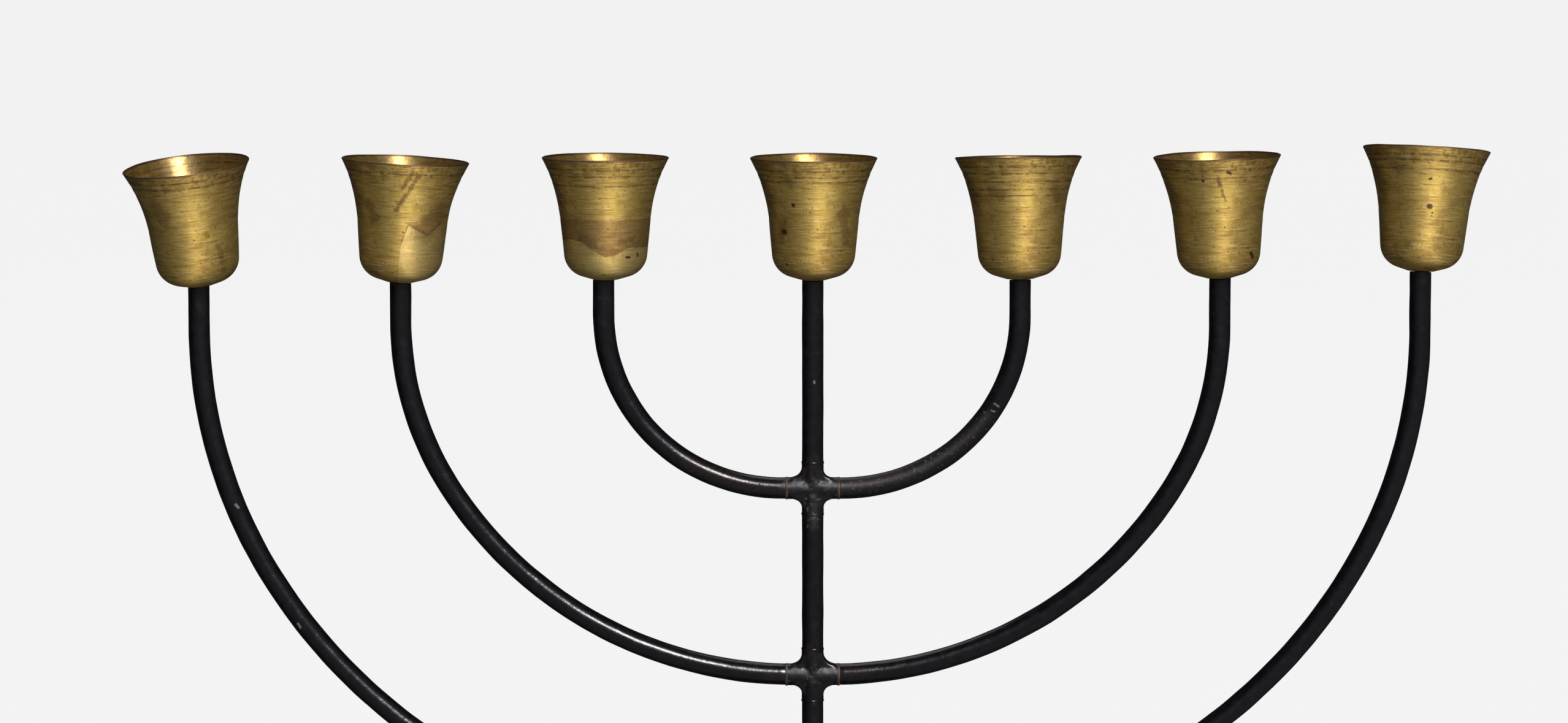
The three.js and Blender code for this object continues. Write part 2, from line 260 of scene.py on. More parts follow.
class MENORAH_PG_cups(bpy.types.PropertyGroup):
    """Sizes of the spun cups and of what fixes them."""

    wall: length("Wall", "Thickness of the spun sheet", 1)
    hole: length("Screw hole", "Radius of the hole in the cup's floor", 2.4)
    seat: length("Seat", "Radius of the flat middle of the floor", 6)
    corner_centre: length("Corner centre", "Distance of the corner's centre from the axis", 8.1)
    corner_radius: length("Corner radius", "Radius of the round corner", 11.3)
    flare_start: length("Flare start", "Height where the wall begins to open out", 27.7)
    flare_radius: length("Flare radius", "Radius of the curve that opens out to the rim", 77)
    dents: length("Dents", "How far the spun wall is out of true", 0.35)


class MENORAH_PG_finish(bpy.types.PropertyGroup):
    """Colours of the finishes."""

    brass: colour("Brass", "Lacquered brass", (0.505, 0.345, 0.078))
    brass_dark: colour("Tarnished brass", "Brass where it is stained brown", (0.19, 0.082, 0.014))
    brass_bare: colour("Bare brass", "Brass where the lacquer has gone", (0.76, 0.6, 0.25))
    iron: colour("Blackened iron", "Waxed black iron", (0.0011, 0.001, 0.0022))
    iron_brown: colour("Rubbed iron", "Iron where it is rubbed to brown", (0.045, 0.028, 0.023))
    steel: colour("Steel", "Zinc-plated steel", (0.45, 0.45, 0.44))
    felt: colour("Felt", "Pressed felt", (0.013, 0.024, 0.017))
    coat: share("Lacquer", "How much clear lacquer is left on the brass", 0.5)


# Modelling helpers.


def deselect_everything():
    if bpy.context.mode != "OBJECT":
        bpy.ops.object.mode_set(mode="OBJECT")
    bpy.ops.object.select_all(action="DESELECT")


def pick(*objects):
    """Selects these objects alone and makes the last one active."""
    deselect_everything()
    for obj in objects:
        obj.select_set(True)
    bpy.context.view_layer.objects.active = objects[-1]


def settle():
    """Moves the active object's place into its mesh."""
    bpy.ops.object.transform_apply(location=True, rotation=True, scale=True)


def start_circle(name, radius, sides, centre, fill="NOTHING"):
    """Adds a level ring of points and opens it in edit mode, all selected."""
    deselect_everything()
    bpy.ops.mesh.primitive_circle_add(vertices=sides, radius=radius, fill_type=fill, location=centre)
    piece = bpy.context.object
    piece.name = name
    piece.data.name = name
    settle()
    bpy.ops.object.mode_set(mode="EDIT")
    bpy.ops.mesh.select_mode(type="VERT")
    bpy.ops.mesh.select_all(action="SELECT")
    return piece


def draw_out(step):
    bpy.ops.mesh.extrude_region_move(TRANSFORM_OT_translate={"value": tuple(step)})


def scale_about(centre, factors):
    bpy.ops.transform.resize(value=factors, center_override=tuple(centre))


def close_shape():
    """Merges the points that meet, turns all faces outwards and leaves edit mode."""
    bpy.ops.mesh.select_all(action="SELECT")
    bpy.ops.mesh.remove_doubles(threshold=WELD)
    bpy.ops.mesh.normals_make_consistent(inside=False)
    bpy.ops.object.mode_set(mode="OBJECT")


def turned_piece(name, outline, sides, hollow=False):
    """Raises a round piece out of one circle, ring by ring along its outline of (radius, height)."""
    radius, height = outline[0]
    piece = start_circle(name, radius, sides, (0, 0, height), "NOTHING" if hollow else "NGON")
    rings = outline[1:] + (outline[:1] if hollow else [])
    for next_radius, next_height in rings:
        draw_out((0, 0, next_height - height))
        wider = next_radius / radius
        scale_about((0, 0, next_height), (wider, wider, 1))
        radius, height = next_radius, next_height
    close_shape()
    return piece


def stations(start, end, spacing):
    """Evenly spaced numbers from start to end, both included, about `spacing` apart."""
    count = max(1, round(abs(end - start) / spacing))
    return [start + (end - start) * i / count for i in range(count + 1)]


def select_faces(piece, wanted):
    """Leaves edit mode open with only the faces selected whose centre and normal are wanted."""
    pick(piece)
    bpy.ops.object.mode_set(mode="EDIT")
    bpy.ops.mesh.select_mode(type="FACE")
    bpy.ops.mesh.select_all(action="DESELECT")
    bpy.ops.object.mode_set(mode="OBJECT")
    for face in piece.data.polygons:
        face.select = wanted(face.center, face.normal)
    bpy.ops.object.mode_set(mode="EDIT")


def add_modifier(kind, **settings):
    """Adds a modifier to the active object and applies it."""
    bpy.ops.object.modifier_add(type=kind)
    modifier = bpy.context.object.modifiers[-1]
    for name, value in settings.items():
        setattr(modifier, name, value)
    bpy.ops.object.modifier_apply(modifier=modifier.name)


def roughen(piece, depth, grain, group=""):
    """Pushes the surface in and out by a slow, cloudy pattern, as hand work leaves it."""
    pick(piece)
    name = f"clouds_{round(grain / MM)}"
    clouds = bpy.data.textures.get(name) or bpy.data.textures.new(name, "CLOUDS")
    clouds.noise_scale = grain
    clouds.noise_depth = 1
    add_modifier(
        "DISPLACE",
        texture=clouds,
        texture_coords="LOCAL",
        strength=2 * depth,
        mid_level=0.5,
        vertex_group=group,
    )


def soften_edges(piece, width, angle=50):
    pick(piece)
    add_modifier("BEVEL", width=width, segments=2, limit_method="ANGLE", angle_limit=math.radians(angle))


def smooth_shade(piece, angle=40):
    pick(piece)
    bpy.ops.object.shade_smooth_by_angle(angle=math.radians(angle))


def cut_away(piece, *cutters):
    """Takes the cutters' shapes out of the piece, and deletes the cutters."""
    if len(cutters) > 1:
        pick(*cutters)
        bpy.ops.object.join()
    cutter = cutters[-1]
    pick(piece)
    add_modifier("BOOLEAN", operation="DIFFERENCE", solver="EXACT", object=cutter)
    pick(cutter)
    bpy.ops.object.delete()


def copy_of(piece, name):
    """A copy with its own mesh."""
    pick(piece)
    bpy.ops.object.duplicate(linked=False)
    twin = bpy.context.object
    twin.name = name
    twin.data.name = name
    return twin


def place(piece, matrix):
    """Puts a piece that was made round the origin in its place, in its mesh."""
    pick(piece)
    piece.matrix_world = matrix
    settle()


def finish_piece(piece, material, body, node=None):
    """Gives a finished piece its material, its body and the node that it stands for."""
    piece.data.materials.clear()
    piece.data.materials.append(material)
    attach(piece, body)
    if node:
        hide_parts(node)


# Material helpers.


class Finish:
    """A material and short ways to add the nodes that the finishes share."""

    def __init__(self, name):
        self.material = bpy.data.materials.new(name)
        self.material.use_nodes = True
        self.tree = self.material.node_tree
        self.surface = self.tree.nodes["Principled BSDF"]

    def feed(self, socket, value):
        if isinstance(value, bpy.types.NodeSocket):
            self.tree.links.new(value, socket)
        elif socket.type == "RGBA" and len(value) == 3:
            socket.default_value = (*value, 1)
        else:
            socket.default_value = value

    def node(self, kind, inputs=(), **settings):
        made = self.tree.nodes.new(f"ShaderNode{kind}")
        for name, value in settings.items():
            setattr(made, name, value)
        for key, value in dict(inputs).items():
            self.feed(made.inputs[key], value)
        return made

    def place(self, matrix=None):
        """Coordinates in metres on the piece, measured from the matrix's own origin and axes."""
        point = self.node("TexCoord").outputs["Object"]
        if matrix is None:
            return point
        inputs = {"Vector": point, "Location": matrix.translation, "Rotation": matrix.to_euler()}
        return self.node("Mapping", inputs, vector_type="TEXTURE").outputs["Vector"]

    def stretched(self, point, factors):
        inputs = {0: point, 1: factors}
        return self.node("VectorMath", inputs, operation="MULTIPLY").outputs["Vector"]

    def noise(self, point, scale, detail=2.0, roughness=0.5, distortion=0.0):
        inputs = {
            "Vector": point,
            "Scale": scale,
            "Detail": detail,
            "Roughness": roughness,
            "Distortion": distortion,
        }
        return self.node("TexNoise", inputs).outputs["Fac"]

    def math(self, operation, first, second=0.0):
        return self.node("Math", {0: first, 1: second}, operation=operation).outputs["Value"]

    def times(self, first, second):
        return self.math("MULTIPLY", first, second)

    def span(self, value, low, high, to_low=0.0, to_high=1.0):
        """The value's way from low to high, eased in and out, as a number from to_low to to_high."""
        inputs = {
            "Value": value,
            "From Min": low,
            "From Max": high,
            "To Min": to_low,
            "To Max": to_high,
        }
        return self.node("MapRange", inputs, interpolation_type="SMOOTHSTEP").outputs["Result"]

    def mix(self, share_of_second, first, second):
        inputs = {0: share_of_second, 6: first, 7: second}
        return self.node("Mix", inputs, data_type="RGBA").outputs[2]

    def brightest(self, *values):
        total = values[0]
        for value in values[1:]:
            total = self.math("MAXIMUM", total, value)
        return total

    def distance(self, point, start, end):
        """How far a point is from the straight line between two places."""
        start, end = Vector(start), Vector(end)
        inputs = {0: point, 1: start}
        away = self.node("VectorMath", inputs, operation="SUBTRACT").outputs["Vector"]
        along = end - start
        if along.length < WELD:
            return self.node("VectorMath", {0: away}, operation="LENGTH").outputs["Value"]
        inputs = {0: away, 1: along / along.length_squared}
        reach = self.node("VectorMath", inputs, operation="DOT_PRODUCT").outputs["Value"]
        reach = self.node("Clamp", {"Value": reach}).outputs["Result"]
        inputs = {0: along, "Scale": reach}
        foot = self.node("VectorMath", inputs, operation="SCALE").outputs["Vector"]
        return self.node("VectorMath", {0: away, 1: foot}, operation="DISTANCE").outputs["Value"]

    def bump(self, *layers):
        """Stacks (height, distance in metres) layers of relief."""
        normal = None
        for height, distance in layers:
            inputs = {"Height": height, "Distance": distance, "Strength": 1.0}
            if normal:
                inputs["Normal"] = normal
            normal = self.node("Bump", inputs).outputs["Normal"]
        self.feed(self.surface.inputs["Normal"], normal)

    def wear(self, **sockets):
        for name, value in sockets.items():
            self.feed(self.surface.inputs[name.replace("_", " ").title()], value)
        return self.material


# Finishes.

SPECK = (0.08, 0.035, 0.01)  # dark specks in the lacquer
RING_BROWN = (0.11, 0.045, 0.013)  # dirt in the lathe tool's lines
RIM_BROWN = (0.09, 0.04, 0.012)  # dark brown on the face of a cup's rim
LACQUER_EDGE = (0.17, 0.075, 0.035)  # the thick edge where old lacquer ends
IRON_SHEEN = (0.0025, 0.0023, 0.0035)  # where the wax is thin on the iron
IRON_DUST = (0.06, 0.05, 0.05)  # dust caught in pits
BRIGHT_NICK = (0.42, 0.4, 0.38)  # iron bared by a knock


def on_cup(x, height, cups):
    """The point on the front of a cup's outer face at this x and height, in metres."""
    radius = cup_radius(height * MM, cups)
    x *= MM
    return (x, -math.sqrt(max(radius * radius - x * x, 0)), height * MM + GAP)


# The kinds of mark on a cup: (colour, strength, how ragged its edge is in millimetres).

MARK_KINDS = {
    "stain": ((0.15, 0.066, 0.026), 0.42, 9),
    "scuff": ((0.12, 0.055, 0.018), 0.75, 3.5),
    "pit": ((0.03, 0.01, 0.006), 0.9, 2),
    "gilt": ((0.3, 0.2, 0.004), 0.95, 1),
}


def marks_of_kind(finish, point, kind, marks, ragged):
    """One where there is a mark of this kind, nought elsewhere, with ragged edges."""
    found = []
    for name, start, end, radius in marks:
        if name != kind:
            continue
        away = finish.math("ADD", finish.distance(point, start, end), ragged)
        found.append(finish.span(away, 1.5 * radius * MM, 0.5 * radius * MM))
    return finish.brightest(*found) if found else None


def below_tide(finish, point, tide, wobble):
    """(share of bare brass, share of dark edge) under a line drawn across the front of a cup."""
    widest = 30
    tallest = 60
    top, tide = tide
    split = finish.node("SeparateXYZ", {0: point}).outputs
    across = finish.math("MULTIPLY_ADD", split["X"], 1 / (2 * widest * MM))
    across.node.inputs[2].default_value = 0.5
    line = finish.node("ValToRGB", {"Fac": across})
    stops = line.color_ramp.elements
    while len(stops) < len(tide):
        stops.new(0.5)
    for stop, (x, height) in zip(stops, tide):
        stop.position = (x + widest) / (2 * widest)
        stop.color = (height / tallest, height / tallest, height / tallest, 1)
    edge = finish.times(line.outputs["Color"], tallest * MM)
    above = finish.math("SUBTRACT", split["Z"], edge)
    above = finish.math("ADD", above, wobble)
    front = finish.span(split["Y"], 0, -2 * MM)
    bare = finish.times(finish.span(above, 0.3 * MM, -0.3 * MM), front)
    line_share = finish.span(above, 2.5 * MM, 0.1 * MM)
    below_top = finish.span(split["Z"], (top + 0.3) * MM, top * MM, 0, 0.7)
    dark = finish.times(finish.brightest(line_share, below_top), front)
    dark = finish.math("SUBTRACT", dark, bare)
    return bare, finish.math("MAXIMUM", dark, 0.0)


def ring_lines(finish, height, heights, wobble):
    """One on thin lines round the cup at these heights, nought elsewhere."""
    wavy = finish.math("ADD", height, finish.times(wobble, 0.25))
    lines = []
    for line in heights:
        away = finish.math("ABSOLUTE", finish.math("SUBTRACT", wavy, line * MM))
        lines.append(finish.span(away, 0.65 * MM, 0.2 * MM))
    return finish.brightest(*lines)


def inner_face(finish, split):
    """One on faces that look towards the cup's axis, nought on those that look away."""
    outwards = finish.node("CombineXYZ", {"X": split["X"], "Y": split["Y"]}).outputs["Vector"]
    normal = finish.node("TexCoord").outputs["Normal"]
    facing = finish.node("VectorMath", {0: outwards, 1: normal}, operation="DOT_PRODUCT")
    return finish.span(facing.outputs["Value"], 0, -4 * MM)


def spun_brass(name, seat, lines, marks, tide=None):
    """Lathe-spun brass under thin old lacquer, with the rings of the tool and brown stains."""
    colours = bpy.context.scene.menorah_finish
    finish = Finish(name)
    point = finish.place(seat)
    split = finish.node("SeparateXYZ", {0: point}).outputs
    rings = finish.noise(finish.stretched(point, (0.07, 0.07, 1)), 1500, 3, 0.65)
    bands = finish.noise(finish.stretched(point, (0.04, 0.04, 1)), 260, 2, 0.5)
    cuts = finish.noise(finish.stretched(point, (0.05, 0.05, 1)), 1100, 2, 0.5)
    clouds = finish.noise(point, 70, 4, 0.55, 0.4)
    mottle = finish.noise(point, 420, 3, 0.6)
    streaks = finish.noise(finish.stretched(point, (1, 1, 0.12)), 260, 3, 0.6)
    flecks = finish.noise(point, 900, 1, 0.4)

    tarnish = finish.span(clouds, 0.42, 0.72, 0, 0.6)
    banded = finish.span(bands, 0.5, 0.68, 0, 0.42)
    near_rim = finish.span(split["Z"], 44 * MM, 56 * MM)
    rim_stain = finish.times(near_rim, finish.span(mottle, 0.4, 0.6, 0.1, 0.6))
    near_floor = finish.span(split["Z"], 9 * MM, 1 * MM, 0, 0.2)
    scored = finish.span(cuts, 0.58, 0.7, 0, 0.65)
    brown = finish.brightest(tarnish, banded, rim_stain, near_floor, scored)
    shown = finish.mix(brown, colours.brass, colours.brass_dark)
    shown = finish.mix(finish.span(rings, 0.45, 0.72, 0, 0.6), shown, colours.brass_bare)
    shown = finish.mix(finish.span(streaks, 0.55, 0.75, 0, 0.25), shown, colours.brass_dark)
    speckled = finish.span(flecks, 0.66, 0.74, 0, 0.65)
    shown = finish.mix(speckled, shown, SPECK)

    ragged = finish.times(finish.math("SUBTRACT", mottle, 0.5), 2.2 * MM)
    rough = finish.span(clouds, 0.3, 0.7, 0.62, 0.72)
    if tide:
        bare, edge = below_tide(finish, point, tide, ragged)
        shown = finish.mix(finish.times(edge, 0.62), shown, LACQUER_EDGE)
        shown = finish.mix(finish.times(bare, 0.32), shown, colours.brass_bare)
        rough = finish.math("SUBTRACT", rough, finish.times(bare, 0.05))
    lines = ring_lines(finish, split["Z"], lines, ragged)
    lines = finish.times(lines, finish.span(mottle, 0.38, 0.56, 0.15, 0.6))
    shown = finish.mix(lines, shown, RING_BROWN)
    for kind, (tone, strength, raggedness) in MARK_KINDS.items():
        edge = finish.times(finish.math("SUBTRACT", mottle, 0.5), raggedness * MM)
        mask = marks_of_kind(finish, point, kind, marks, edge)
        if mask and kind == "scuff":
            mask = finish.times(mask, finish.span(rings, 0.4, 0.56, 0.45, 1))
        if mask:
            shown = finish.mix(finish.times(mask, strength), shown, tone)
    inside = inner_face(finish, split)
    # Painted shade: the faces inside the cup are darkened towards the tarnished-brass colour.
    shown = finish.mix(finish.times(inside, 0.28), shown, colours.brass_dark)
    rough = finish.math("SUBTRACT", rough, finish.times(inside, 0.22))
    rim_face = finish.span(split["Z"], 56.3 * MM, 57.0 * MM, 0, 0.88)
    shown = finish.mix(rim_face, shown, RIM_BROWN)

    finish.bump((rings, 0.04 * MM), (mottle, 0.05 * MM), (clouds, 0.3 * MM))
    finish.surface.inputs["Metallic"].default_value = 0.9
    finish.surface.inputs["Anisotropic"].default_value = 0.7
    finish.surface.inputs["Anisotropic Rotation"].default_value = 0.25
    finish.surface.inputs["Coat Weight"].default_value = colours.coat
    finish.surface.inputs["Coat Roughness"].default_value = 0.38
    tangent = finish.node("Tangent", direction_type="RADIAL", axis="Z").outputs["Tangent"]
    return finish.wear(base_color=shown, roughness=rough, tangent=tangent)


def waxed_black_iron():
    """Black waxed iron bar, rubbed to copper brown at the joints and nicked to bright metal."""
    colours = bpy.context.scene.menorah_finish
    bars = bpy.context.scene.menorah_bars
    finish = Finish("waxed_black_iron")
    point = finish.place()
    grain = finish.noise(point, 1400, 3, 0.6)
    patches = finish.noise(point, 240, 4, 0.6, 0.5)
    slow = finish.noise(point, 45, 2, 0.5)
    crumbs = finish.noise(point, 620, 2, 0.5)

    ragged = finish.times(finish.math("SUBTRACT", patches, 0.5), 9 * MM)
    marks = [
        (kind, (x * MM, -bars.radius, z * MM), (x2 * MM, -bars.radius, z2 * MM), radius)
        for kind, x, z, x2, z2, radius in IRON_MARKS
    ]
    copper = marks_of_kind(finish, point, "copper", marks, ragged)
    fine = finish.times(finish.math("SUBTRACT", crumbs, 0.5), 0.9 * MM)
    steel = marks_of_kind(finish, point, "steel", marks, fine)
    pitted = marks_of_kind(finish, point, "pitted", marks, ragged)
    worn = finish.times(finish.span(patches, 0.58, 0.72), finish.span(slow, 0.48, 0.62))
    dusty = finish.times(finish.span(crumbs, 0.6, 0.7), pitted)
    copper = finish.times(copper, finish.span(crumbs, 0.36, 0.56))

    shown = finish.mix(finish.span(patches, 0.35, 0.7), colours.iron, IRON_SHEEN)
    shown = finish.mix(finish.times(worn, 0.12), shown, colours.iron_brown)
    shown = finish.mix(finish.times(copper, 0.38), shown, colours.iron_brown)
    shown = finish.mix(finish.times(dusty, 0.7), shown, IRON_DUST)
    shown = finish.mix(finish.times(steel, 0.85), shown, BRIGHT_NICK)
    rough = finish.span(patches, 0.3, 0.75, 0.21, 0.27)
    rough = finish.math("ADD", rough, finish.times(pitted, 0.24))
    height = finish.node("SeparateXYZ", {0: point}).outputs["Z"]
    dulled = finish.span(height, 60 * MM, 20 * MM, 0, 0.28)
    rough = finish.math("ADD", rough, dulled)
    metal = finish.brightest(finish.times(copper, 0.5), steel)
    finish.bump((grain, 0.025 * MM), (crumbs, 0.05 * MM), (patches, 0.1 * MM))
    finish.surface.inputs["Specular IOR Level"].default_value = 0.4
    return finish.wear(base_color=shown, roughness=rough, metallic=metal)


def braze():
    """Brown, heat-scaled braze metal."""
    finish = Finish("braze")
    point = finish.place()
    lumps = finish.noise(point, 800, 3, 0.6)
    scale = finish.noise(point, 250, 3, 0.55)
    shown = finish.mix(finish.span(scale, 0.4, 0.65), (0.014, 0.012, 0.012), (0.1, 0.06, 0.035))
    finish.bump((lumps, 0.12 * MM))
    metal = finish.span(scale, 0.4, 0.65, 0, 0.6)
    rough = finish.span(lumps, 0.3, 0.7, 0.4, 0.6)
    return finish.wear(base_color=shown, roughness=rough, metallic=metal)


def turned_metal(name, tone, dull):
    """Small turned parts: fine rings round the axis and a little grime."""
    finish = Finish(name)
    point = finish.place()
    grime = finish.noise(point, 350, 4, 0.6)
    cuts = finish.noise(finish.stretched(point, (0.3, 0.3, 1)), 5000, 2, 0.5)
    shown = finish.mix(finish.span(grime, 0.45, 0.7, 0, 0.6), tone, dull)
    finish.bump((cuts, 0.02 * MM), (grime, 0.05 * MM))
    finish.surface.inputs["Metallic"].default_value = 1
    return finish.wear(base_color=shown, roughness=finish.span(grime, 0.3, 0.7, 0.3, 0.5))


def pressed_felt():
    """Matted wool fibres, with a soft nap."""
    colours = bpy.context.scene.menorah_finish
    finish = Finish("pressed_felt")
    point = finish.place()
    fibres = finish.noise(point, 2600, 4, 0.7, 1.5)
    matting = finish.noise(point, 300, 3, 0.6)
    light = tuple(2.4 * channel for channel in colours.felt)
    shown = finish.mix(finish.span(fibres, 0.4, 0.65), colours.felt, light)
    shown = finish.mix(finish.span(matting, 0.4, 0.7, 0, 0.3), shown, (0.03, 0.034, 0.03))
    finish.bump((fibres, 0.25 * MM), (matting, 0.3 * MM))
    finish.surface.inputs["Sheen Weight"].default_value = 0.3
    finish.surface.inputs["Sheen Roughness"].default_value = 0.6
    return finish.wear(base_color=shown, roughness=finish.span(fibres, 0.3, 0.7, 0.85, 1.0))


# Cups.

CROWN = math.radians(15.5)  # slope of the cup's floor where it meets the corner
TAPER = math.radians(5.5)  # slope of the wall from the vertical
RIM_SLOPE = math.radians(28.2)  # slope of the rim from the vertical
TOOL_GROOVES = {50: 0.16, 46.5: 0.1, 29: 0.08}  # heights and depths of the deepest rings, in mm


def flare_centre(cups):
    """Radius and height of the centre of the curve that opens the wall out to the rim."""
    floor_end = cups.corner_centre + cups.corner_radius * math.sin(CROWN)
    corner_height = cups.corner_radius * math.cos(CROWN) + floor_end * math.tan(CROWN / 2)
    wall_start = corner_height - cups.corner_radius * math.sin(TAPER)
    wall_radius = cups.corner_centre + cups.corner_radius * math.cos(TAPER)
    at_flare = wall_radius + (cups.flare_start - wall_start) * math.tan(TAPER)
    radius = at_flare + cups.flare_radius * math.cos(TAPER)
    height = cups.flare_start - cups.flare_radius * math.sin(TAPER)
    return corner_height, wall_radius, wall_start, radius, height


def cup_outline(cups):
    """The outer face of a cup from its screw hole to its rim, as (radius, height)."""
    corner_height, wall_radius, wall_start, flare_x, flare_z = flare_centre(cups)
    outline = [(cups.hole, 0), (cups.seat * 0.7, 0), (cups.seat, 0)]
    for slope in stations(math.pi / 2 - CROWN, TAPER, math.radians(5)):
        outline.append((
            cups.corner_centre + cups.corner_radius * math.cos(slope),
            corner_height - cups.corner_radius * math.sin(slope),
        ))
    for height in stations(wall_start, cups.flare_start, MM)[1:]:
        outline.append((wall_radius + (height - wall_start) * math.tan(TAPER), height))
    for slope in stations(TAPER, RIM_SLOPE, math.radians(0.75))[1:]:
        outline.append((
            flare_x - cups.flare_radius * math.cos(slope),
            flare_z + cups.flare_radius * math.sin(slope),
        ))
    return outline


def cup_radius(height, cups):
    """The outer radius of a cup at a height above its floor."""
    outline = cup_outline(cups)
    for (low_radius, low), (high_radius, high) in zip(outline, outline[1:]):
        if low <= height <= high and high > low:
            return low_radius + (high_radius - low_radius) * (height - low) / (high - low)
    return outline[-1][0]


def grooved(outline):
    """The outline with the tool's deepest rings pressed into it."""
    half_width = 0.9
    cut = []
    for radius, height in outline:
        for middle, depth in TOOL_GROOVES.items():
            away = (height / MM - middle) / half_width
            radius -= depth * MM * math.exp(-away * away)
        cut.append((radius, height))
    return cut


def spun_cup(name, cups):
    """One cup round the origin, its floor a gap above the seat."""
    outline = [(radius, height + GAP) for radius, height in grooved(cup_outline(cups))]
    piece = start_circle(name, outline[0][0], 96, (0, 0, outline[0][1]))
    for (radius, height), (wider, higher) in zip(outline, outline[1:]):
        draw_out((0, 0, higher - height))
        scale_about((0, 0, higher), (wider / radius, wider / radius, 1))
    close_shape()
    face_outwards(piece)
    add_modifier("SOLIDIFY", thickness=cups.wall, offset=-1, use_even_offset=True)
    return piece


def face_outwards(piece):
    """Turns an open bowl's faces away from the Z axis, so that it thickens inwards."""
    pick(piece)
    wall = max(piece.data.polygons, key=lambda face: face.center.z)
    if wall.normal.dot(wall.center * Vector((1, 1, 0))) < 0:
        bpy.ops.object.mode_set(mode="EDIT")
        bpy.ops.mesh.select_all(action="SELECT")
        bpy.ops.mesh.flip_normals()
        bpy.ops.object.mode_set(mode="OBJECT")


def free_wall(piece, cups):
    """Names the points of the wall that may be out of true: those well above the floor."""
    low = cups.corner_radius
    group = piece.vertex_groups.new(name="wall")
    for point in piece.data.vertices:
        amount = min(max((point.co.z - low) / (2 * low), 0), 1)
        group.add([point.index], amount, "REPLACE")
    return group.name


class MENORAH_OT_cups(bpy.types.Operator):
    """Spin the seven cups and set each on its seat"""

    bl_idname = "menorah.cups"
    bl_label = "Spun cups"

    def execute(self, context):
        cups = context.scene.menorah_cups
        first = spun_cup("cup_pattern", cups)
        group = free_wall(first, cups)
        for node, seat in SEATS.items():
            piece = copy_of(first, f"{node}_shell")
            place(piece, seat)
            roughen(piece, cups.dents, 24 * MM, group)
            soften_edges(piece, 0.28 * MM, 60)
            smooth_shade(piece, 50)
            marks = [
                (kind, on_cup(x, height, cups), on_cup(x2, height2, cups), radius)
                for kind, x, height, x2, height2, radius in CUP_MARKS[node]
            ]
            name = f"lacquered_brass_{node}"
            material = spun_brass(name, seat, CUP_LINES[node], marks, TIDE_LINES.get(node))
            finish_piece(piece, material, node, node)
        pick(first)
        bpy.ops.object.delete()
        return {"FINISHED"}


# Screws and washers.

SCREW_EDGE = 0.45  # a screw head's straight edge as a share of its height
CUP_SCREW = {"shank": 2, "reach": 7, "head": 4, "height": 2.6, "slot": 1, "depth": 1.2}
CUP_WASHER = {"hole": 2.3, "radius": 4.5, "thickness": 0.8}
BASE_SCREW = {"shank": 2.5, "reach": 20, "head": 4.75, "height": 2.6, "slot": 1.2, "depth": 1.2}
BASE_WASHER = {"hole": 2.8, "radius": 8, "thickness": 1}


def slotted_screw(name, sizes, length_below):
    """A round-head screw whose head stands on height nought, with a slot across it."""
    shank, head, height = sizes["shank"] * MM, sizes["head"] * MM, sizes["height"] * MM
    outline = [(shank * 0.7, -length_below), (shank, -length_below + 0.3 * shank), (shank, 0), (head, 0)]
    outline.append((head, SCREW_EDGE * height))
    for slope in stations(math.radians(20), math.radians(88), math.radians(11)):
        rise = (1 - SCREW_EDGE) * height * math.sin(slope)
        outline.append((head * math.cos(slope), SCREW_EDGE * height + rise))
    piece = turned_piece(name, outline, 40)
    deselect_everything()
    depth = sizes["depth"] * MM
    slot = (3 * head, sizes["slot"] * MM, 2 * depth)
    bpy.ops.mesh.primitive_cube_add(size=1, location=(0, 0, height), scale=slot)
    cutter = bpy.context.object
    settle()
    cut_away(piece, cutter)
    soften_edges(piece, 0.12 * MM)
    smooth_shade(piece)
    return piece


def flat_washer(name, sizes):
    """A stamped washer on height nought, its upper edge a little rounded."""
    hole, radius, top = sizes["hole"] * MM, sizes["radius"] * MM, sizes["thickness"] * MM
    piece = turned_piece(name, [(hole, 0), (radius, 0), (radius, top), (hole, top)], 48, hollow=True)
    soften_edges(piece, 0.15 * MM)
    smooth_shade(piece)
    return piece


class MENORAH_OT_cup_fixings(bpy.types.Operator):
    """Turn the screws and washers that hold the cups down"""

    bl_idname = "menorah.cup_fixings"
    bl_label = "Cup screws and washers"

    def execute(self, context):
        cups = context.scene.menorah_cups
        material = turned_metal("turned_brass", (0.52, 0.35, 0.12), (0.1, 0.055, 0.02))
        washer_seat = GAP + cups.wall + GAP
        head_seat = washer_seat + CUP_WASHER["thickness"] * MM + GAP
        screw = slotted_screw("screw_pattern", CUP_SCREW, head_seat + CUP_SCREW["reach"] * MM)
        washer = flat_washer("washer_pattern", CUP_WASHER)
        for number, seat in enumerate(SEATS.values(), start=1):
            turn = Matrix.Rotation(math.radians(37 * number), 4, "Z")
            for first, kind, height in ((screw, "screw", head_seat), (washer, "washer", washer_seat)):
                piece = copy_of(first, f"cup_{number}_{kind}")
                place(piece, seat @ Matrix.Translation((0, 0, height)) @ turn)
                finish_piece(piece, material, "frame", f"cup_{kind}_{number}")
        pick(screw, washer)
        bpy.ops.object.delete()
        return {"FINISHED"}


# Bars.


def tapped_end(piece, seat, bar_x, bars):
    """Cuts a bar off square to its cup's axis and sinks the hole for the cup's screw."""
    axis = (seat.to_3x3() @ UP).normalized()
    tip = seat.translation
    aside = tip.x - bar_x
    off_centre = (aside, 0, -aside * axis.x / axis.z)
    bpy.ops.mesh.select_all(action="SELECT")
    bpy.ops.mesh.bisect(plane_co=tip, plane_no=axis, use_fill=True, clear_outer=True)
    bpy.ops.object.mode_set(mode="OBJECT")
    select_faces(piece, lambda centre, normal: (centre - tip).length < 2 * MM and normal.dot(axis) > 0.99)
    bpy.ops.mesh.inset(thickness=bars.radius - bars.tapped_radius, depth=0)
    bpy.ops.transform.translate(value=off_centre)
    draw_out(-axis * bars.tapped_depth)
    bpy.ops.object.mode_set(mode="OBJECT")


